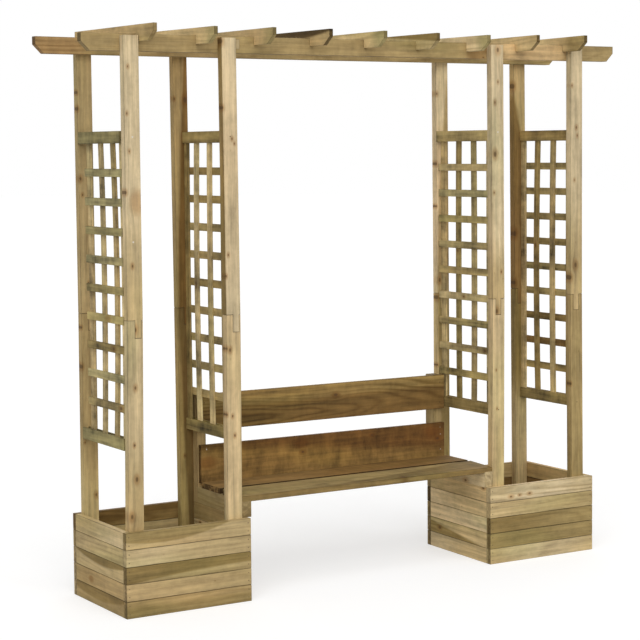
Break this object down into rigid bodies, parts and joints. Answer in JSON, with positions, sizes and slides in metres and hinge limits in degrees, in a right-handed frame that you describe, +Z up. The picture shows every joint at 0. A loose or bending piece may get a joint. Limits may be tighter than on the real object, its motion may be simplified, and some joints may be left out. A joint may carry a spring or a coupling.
{
  "type": "wooden pergola",
  "caption": "Free-standing timber pergola with notched rafters on long beams, trellis sides, raised board planters at both ends and a backed bench between them.",
  "frame": {"origin": "on the ground under the middle of the bounding box", "axes": "+X runs from the left planter to the right planter, -Y is the side the bench faces, +Z is up"},
  "size_m": [2.346, 0.646, 2.038],
  "materials": {
    "post_timber": "planed, unpainted treated softwood",
    "roof_timber": "planed, unpainted treated softwood",
    "trellis_timber": "planed, unpainted treated softwood",
    "planter_boards": "planed, unpainted treated softwood",
    "bench_boards": "planed, unpainted treated softwood",
    "bench_frame": "planed, unpainted treated softwood"
  },
  "bodies": {
    "root": {"post_left_outer_back": "post_timber", "post_left_outer_front": "post_timber", "post_left_inner_back": "post_timber", "post_left_inner_front": "post_timber", "post_right_inner_back": "post_timber", "post_right_inner_front": "post_timber", "post_right_outer_back": "post_timber", "post_right_outer_front": "post_timber", "beam_front": "roof_timber", "beam_back": "roof_timber", "rafter_1": "roof_timber", "rafter_2": "roof_timber", "rafter_3": "roof_timber", "rafter_4": "roof_timber", "rafter_5": "roof_timber", "rafter_6": "roof_timber", "rafter_7": "roof_timber", "rafter_8": "roof_timber", "rafter_9": "roof_timber", "trellis_left_outer": "trellis_timber", "trellis_left_inner": "trellis_timber", "trellis_right_inner": "trellis_timber", "trellis_right_outer": "trellis_timber", "planter_left_front": "planter_boards", "planter_left_back": "planter_boards", "planter_left_outer_side": "planter_boards", "planter_left_inner_side": "planter_boards", "planter_left_floor": "planter_boards", "planter_right_front": "planter_boards", "planter_right_back": "planter_boards", "planter_right_outer_side": "planter_boards", "planter_right_inner_side": "planter_boards", "planter_right_floor": "planter_boards", "seat_support_left": "bench_frame", "seat_support_right": "bench_frame", "seat_board_front": "bench_boards", "seat_board_back": "bench_boards", "back_upright_left": "bench_frame", "back_upright_right": "bench_frame", "back_board_lower": "bench_boards", "back_board_upper": "bench_boards"}
  },
  "joints": []
}
